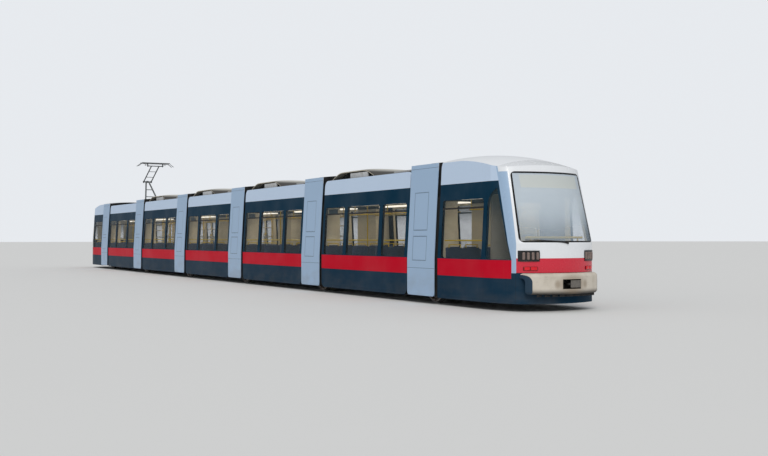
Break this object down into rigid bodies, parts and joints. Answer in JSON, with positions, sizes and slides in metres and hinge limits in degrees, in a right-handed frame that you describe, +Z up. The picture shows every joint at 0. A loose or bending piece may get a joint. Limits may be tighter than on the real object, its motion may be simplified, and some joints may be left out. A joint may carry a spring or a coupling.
{
  "type": "low-floor articulated tram",
  "caption": "Ultra-low-floor articulated city tram with cars hung between portal frames that carry the wheels, single-arm current collector on the roof",
  "frame": {"origin": "centre of the tram's length and width, at the level of the lowest points of the wheel flanges", "axes": "+X towards the leading end, +Y to the left side, without doors, +Z up"},
  "size_m": [35.47, 2.4, 4.7826],
  "materials": {
    "body_paint": "satin paint with a red band over a dark skirt",
    "tinted_glass": "tinted safety glass",
    "door_paint": "satin paint",
    "interior_trim": "moulded plastic and yellow rails",
    "mask_paint": "gloss white with a red band",
    "bumper_plastic": "pale grey plastic, dusty",
    "portal_paint": "satin grey paint",
    "bellows_rubber": "black rubber",
    "wheel_steel": "turned steel with a polished tread",
    "pantograph_metal": "grey paint"
  },
  "bodies": {
    "car_body_1": {"car_1": "body_paint", "glazing_1": "tinted_glass", "doors_1": "door_paint", "fittings_1": "interior_trim", "nose_rear": "mask_paint", "bumper_rear": "bumper_plastic"},
    "car_body_2": {"car_2": "body_paint", "glazing_2": "tinted_glass", "doors_2": "door_paint", "fittings_2": "interior_trim"},
    "car_body_3": {"car_3": "body_paint", "glazing_3": "tinted_glass", "doors_3": "door_paint", "fittings_3": "interior_trim"},
    "car_body_4": {"car_4": "body_paint", "glazing_4": "tinted_glass", "doors_4": "door_paint", "fittings_4": "interior_trim"},
    "car_body_5": {"car_5": "body_paint", "glazing_5": "tinted_glass", "doors_5": "door_paint", "fittings_5": "interior_trim"},
    "car_body_6": {"car_6": "body_paint", "glazing_6": "tinted_glass", "doors_6": "door_paint", "fittings_6": "interior_trim", "pantograph_base": "pantograph_metal"},
    "car_body_7": {"car_7": "body_paint", "glazing_7": "tinted_glass", "doors_7": "door_paint", "fittings_7": "interior_trim", "nose_front": "mask_paint", "bumper_front": "bumper_plastic"},
    "portal_body_1": {"portal_1": "portal_paint", "bellows_1": "bellows_rubber"},
    "wheel_body_1_left": {"wheel_1_left": "wheel_steel"},
    "wheel_body_1_right": {"wheel_1_right": "wheel_steel"},
    "portal_body_2": {"portal_2": "portal_paint", "bellows_2": "bellows_rubber"},
    "wheel_body_2_left": {"wheel_2_left": "wheel_steel"},
    "wheel_body_2_right": {"wheel_2_right": "wheel_steel"},
    "portal_body_3": {"portal_3": "portal_paint", "bellows_3": "bellows_rubber"},
    "wheel_body_3_left": {"wheel_3_left": "wheel_steel"},
    "wheel_body_3_right": {"wheel_3_right": "wheel_steel"},
    "portal_body_4": {"portal_4": "portal_paint", "bellows_4": "bellows_rubber"},
    "wheel_body_4_left": {"wheel_4_left": "wheel_steel"},
    "wheel_body_4_right": {"wheel_4_right": "wheel_steel"},
    "portal_body_5": {"portal_5": "portal_paint", "bellows_5": "bellows_rubber"},
    "wheel_body_5_left": {"wheel_5_left": "wheel_steel"},
    "wheel_body_5_right": {"wheel_5_right": "wheel_steel"},
    "portal_body_6": {"portal_6": "portal_paint", "bellows_6": "bellows_rubber"},
    "wheel_body_6_left": {"wheel_6_left": "wheel_steel"},
    "wheel_body_6_right": {"wheel_6_right": "wheel_steel"},
    "lower_arm_body": {"pantograph_lower_arm": "pantograph_metal"},
    "upper_arm_body": {"pantograph_upper_arm": "pantograph_metal"},
    "head_body": {"pantograph_head": "pantograph_metal"}
  },
  "joints": [
    {"name": "portal_1_bend", "type": "hinge", "parent": "car_body_2", "child": "portal_body_1", "pos_m": [-13.515, 0, 0.2], "axis": [0, 0, 1], "range_deg": [-9, 9], "deforming": ["bellows_1"]},
    {"name": "car_1_bend", "type": "hinge", "parent": "portal_body_1", "child": "car_body_1", "pos_m": [-14.635, 0, 0.2], "axis": [0, 0, 1], "range_deg": [-9, 9]},
    {"name": "wheel_1_left_spin", "type": "hinge", "parent": "portal_body_1", "child": "wheel_body_1_left", "pos_m": [-14.075, 0.7455, 0.365], "axis": [0, 1, 0], "continuous": true},
    {"name": "wheel_1_right_spin", "type": "hinge", "parent": "portal_body_1", "child": "wheel_body_1_right", "pos_m": [-14.075, -0.7455, 0.365], "axis": [0, 1, 0], "continuous": true},
    {"name": "portal_2_bend", "type": "hinge", "parent": "car_body_3", "child": "portal_body_2", "pos_m": [-7.885, 0, 0.2], "axis": [0, 0, 1], "range_deg": [-9, 9], "deforming": ["bellows_2"]},
    {"name": "car_2_bend", "type": "hinge", "parent": "portal_body_2", "child": "car_body_2", "pos_m": [-9.005, 0, 0.2], "axis": [0, 0, 1], "range_deg": [-9, 9]},
    {"name": "wheel_2_left_spin", "type": "hinge", "parent": "portal_body_2", "child": "wheel_body_2_left", "pos_m": [-8.445, 0.7455, 0.365], "axis": [0, 1, 0], "continuous": true},
    {"name": "wheel_2_right_spin", "type": "hinge", "parent": "portal_body_2", "child": "wheel_body_2_right", "pos_m": [-8.445, -0.7455, 0.365], "axis": [0, 1, 0], "continuous": true},
    {"name": "portal_3_bend", "type": "hinge", "parent": "car_body_4", "child": "portal_body_3", "pos_m": [-2.255, 0, 0.2], "axis": [0, 0, 1], "range_deg": [-9, 9], "deforming": ["bellows_3"]},
    {"name": "car_3_bend", "type": "hinge", "parent": "portal_body_3", "child": "car_body_3", "pos_m": [-3.375, 0, 0.2], "axis": [0, 0, 1], "range_deg": [-9, 9]},
    {"name": "wheel_3_left_spin", "type": "hinge", "parent": "portal_body_3", "child": "wheel_body_3_left", "pos_m": [-2.815, 0.7455, 0.365], "axis": [0, 1, 0], "continuous": true},
    {"name": "wheel_3_right_spin", "type": "hinge", "parent": "portal_body_3", "child": "wheel_body_3_right", "pos_m": [-2.815, -0.7455, 0.365], "axis": [0, 1, 0], "continuous": true},
    {"name": "portal_4_bend", "type": "hinge", "parent": "car_body_4", "child": "portal_body_4", "pos_m": [2.255, 0, 0.2], "axis": [0, 0, 1], "range_deg": [-9, 9], "deforming": ["bellows_4"]},
    {"name": "car_5_bend", "type": "hinge", "parent": "portal_body_4", "child": "car_body_5", "pos_m": [3.375, 0, 0.2], "axis": [0, 0, 1], "range_deg": [-9, 9]},
    {"name": "wheel_4_left_spin", "type": "hinge", "parent": "portal_body_4", "child": "wheel_body_4_left", "pos_m": [2.815, 0.7455, 0.365], "axis": [0, 1, 0], "continuous": true},
    {"name": "wheel_4_right_spin", "type": "hinge", "parent": "portal_body_4", "child": "wheel_body_4_right", "pos_m": [2.815, -0.7455, 0.365], "axis": [0, 1, 0], "continuous": true},
    {"name": "portal_5_bend", "type": "hinge", "parent": "car_body_5", "child": "portal_body_5", "pos_m": [7.885, 0, 0.2], "axis": [0, 0, 1], "range_deg": [-9, 9], "deforming": ["bellows_5"]},
    {"name": "car_6_bend", "type": "hinge", "parent": "portal_body_5", "child": "car_body_6", "pos_m": [9.005, 0, 0.2], "axis": [0, 0, 1], "range_deg": [-9, 9]},
    {"name": "wheel_5_left_spin", "type": "hinge", "parent": "portal_body_5", "child": "wheel_body_5_left", "pos_m": [8.445, 0.7455, 0.365], "axis": [0, 1, 0], "continuous": true},
    {"name": "wheel_5_right_spin", "type": "hinge", "parent": "portal_body_5", "child": "wheel_body_5_right", "pos_m": [8.445, -0.7455, 0.365], "axis": [0, 1, 0], "continuous": true},
    {"name": "portal_6_bend", "type": "hinge", "parent": "car_body_6", "child": "portal_body_6", "pos_m": [13.515, 0, 0.2], "axis": [0, 0, 1], "range_deg": [-9, 9], "deforming": ["bellows_6"]},
    {"name": "car_7_bend", "type": "hinge", "parent": "portal_body_6", "child": "car_body_7", "pos_m": [14.635, 0, 0.2], "axis": [0, 0, 1], "range_deg": [-9, 9]},
    {"name": "wheel_6_left_spin", "type": "hinge", "parent": "portal_body_6", "child": "wheel_body_6_left", "pos_m": [14.075, 0.7455, 0.365], "axis": [0, 1, 0], "continuous": true},
    {"name": "wheel_6_right_spin", "type": "hinge", "parent": "portal_body_6", "child": "wheel_body_6_right", "pos_m": [14.075, -0.7455, 0.365], "axis": [0, 1, 0], "continuous": true},
    {"name": "pantograph_lower_hinge", "type": "hinge", "parent": "car_body_6", "child": "lower_arm_body", "pos_m": [10.36, 0, 3.075], "axis": [0, 1, 0], "range_deg": [-13, 47]},
    {"name": "pantograph_knee", "type": "hinge", "parent": "lower_arm_body", "child": "upper_arm_body", "pos_m": [11.08648, 0, 4.00485], "axis": [0, 1, 0], "range_deg": [-73, 21]},
    {"name": "pantograph_head_hinge", "type": "hinge", "parent": "upper_arm_body", "child": "head_body", "pos_m": [9.8945, 0, 4.63864], "axis": [0, 1, 0], "range_deg": [-8, 26]}
  ],
  "couplings": [
    {"joint": "car_1_bend", "follows": "portal_1_bend", "ratio": 1},
    {"joint": "car_2_bend", "follows": "portal_2_bend", "ratio": 1},
    {"joint": "car_3_bend", "follows": "portal_3_bend", "ratio": 1},
    {"joint": "car_5_bend", "follows": "portal_4_bend", "ratio": 1},
    {"joint": "car_6_bend", "follows": "portal_5_bend", "ratio": 1},
    {"joint": "car_7_bend", "follows": "portal_6_bend", "ratio": 1},
    {"joint": "pantograph_knee", "follows": "pantograph_lower_hinge", "ratio": -1.532},
    {"joint": "pantograph_head_hinge", "follows": "pantograph_lower_hinge", "ratio": 0.532}
  ]
}
